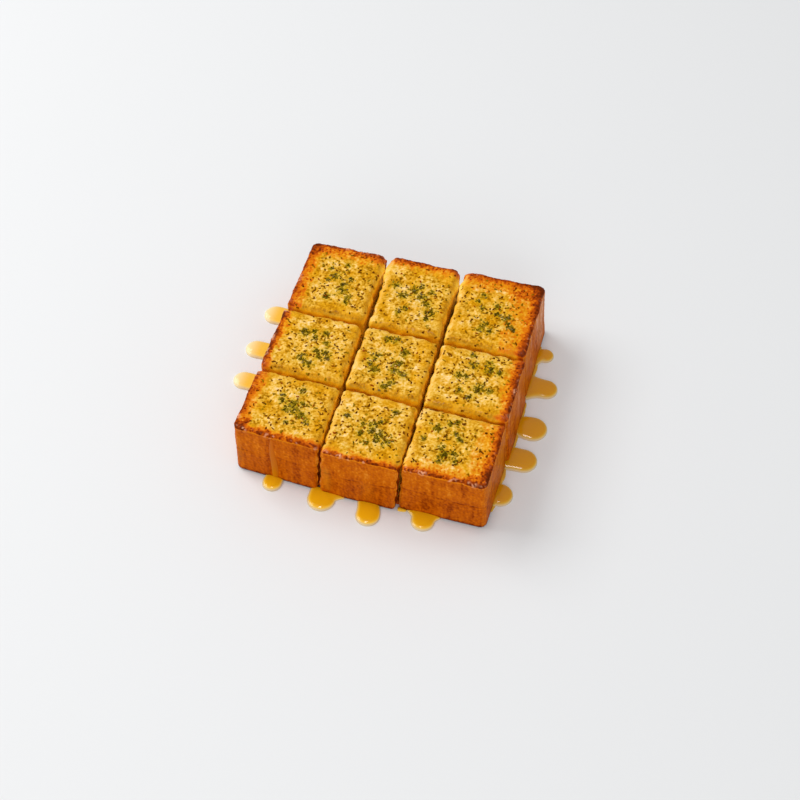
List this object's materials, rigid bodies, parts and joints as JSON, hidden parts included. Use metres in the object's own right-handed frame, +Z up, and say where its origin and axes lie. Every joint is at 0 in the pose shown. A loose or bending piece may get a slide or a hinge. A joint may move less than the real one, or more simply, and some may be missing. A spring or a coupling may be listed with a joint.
{
  "type": "garlic bread",
  "caption": "Thick square slab of garlic bread, scored into cubes above its bottom crust, with a toasted rim, parsley on the golden tops and honey run down and pooled at its foot.",
  "frame": {"origin": "under the middle of the slab, on its flat underside", "axes": "+Z up through the slab, +X towards the side with the most pools of honey, -Y towards the front face with the run of honey"},
  "size_m": [0.1662, 0.146, 0.0356],
  "materials": {
    "bread": "toasted crust, golden to dark brown at the rim, with a yellow buttered crumb on top; set rough, with a thin honey gloss",
    "honey": "clear amber honey, wet and glossy"
  },
  "bodies": {
    "root": {"bread": "bread", "honey_left_1": "honey", "honey_left_2": "honey", "honey_left_3": "honey", "honey_front_1": "honey", "honey_front_2": "honey", "honey_front_3": "honey", "honey_front_4": "honey", "honey_right_1": "honey", "honey_right_2": "honey", "honey_right_3": "honey", "honey_right_4": "honey", "honey_right_5": "honey"}
  },
  "joints": []
}
